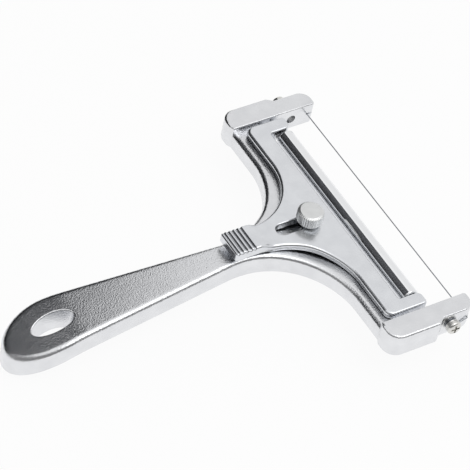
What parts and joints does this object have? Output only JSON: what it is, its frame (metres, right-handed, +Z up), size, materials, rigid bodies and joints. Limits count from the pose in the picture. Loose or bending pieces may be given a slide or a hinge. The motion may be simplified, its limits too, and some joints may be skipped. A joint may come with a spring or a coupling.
{
  "type": "wire cheese slicer",
  "caption": "Hand-held wire cheese slicer: cast handle and T-shaped head, taut cutting wire between two ears, sliding plate with a roller clamped by a knurled thumb screw.",
  "frame": {"origin": "under the middle of the bounding box, at the level of the lowest point under the handle's curled tip", "axes": "+X from the handle to the cutting wire, +Y to the left ear, +Z up, out of the face with the thumb screw"},
  "size_m": [0.175, 0.1368, 0.0322],
  "materials": {
    "plated_casting": "satin chrome plating on a casting",
    "plated_plate": "satin chrome plating",
    "polished_roller": "polished chrome plating",
    "nickel": "satin nickel",
    "steel": "drawn steel",
    "bush_plastic": "moulded"
  },
  "bodies": {
    "slicer_frame": {"frame": "plated_casting", "cutting_wire": "steel", "wire_washer_left": "nickel", "wire_washer_right": "nickel"},
    "plate": {"thickness_plate": "plated_plate", "roller_axle": "steel"},
    "roller": {"roller_tube": "polished_roller", "roller_bush_left": "bush_plastic", "roller_bush_right": "bush_plastic"},
    "clamp": {"thumb_washer": "nickel"},
    "thumb_screw": {"thumb_knob": "nickel", "thumb_stud": "steel"},
    "left_wire_screw": {"wire_screw_left": "nickel"},
    "right_wire_screw": {"wire_screw_right": "nickel"}
  },
  "joints": [
    {"name": "plate_slide", "type": "slide", "parent": "slicer_frame", "child": "plate", "axis": [1, 0, 0], "range_m": [0, 0.012]},
    {"name": "roller_spin", "type": "hinge", "parent": "plate", "child": "roller", "pos_m": [0.06735, 0, 0.02148], "axis": [0, 1, 0], "continuous": true},
    {"name": "clamp_lift", "type": "slide", "parent": "slicer_frame", "child": "clamp", "axis": [0, 0, 1], "range_m": [0, 0.0014]},
    {"name": "thumb_turn", "type": "hinge", "parent": "clamp", "child": "thumb_screw", "pos_m": [0.0488, 0, 0.02638], "axis": [0, 0, 1], "range_deg": [0, 720]},
    {"name": "left_wire_screw_turn", "type": "hinge", "parent": "slicer_frame", "child": "left_wire_screw", "pos_m": [0.0765, 0.0662, 0.01968], "axis": [0, 1, 0], "range_deg": [0, 360]},
    {"name": "right_wire_screw_turn", "type": "hinge", "parent": "slicer_frame", "child": "right_wire_screw", "pos_m": [0.0765, -0.0662, 0.01968], "axis": [0, -1, 0], "range_deg": [0, 360]}
  ],
  "couplings": [
    {"joint": "thumb_turn", "follows": "clamp_lift", "rad_per_m": 8976}
  ]
}
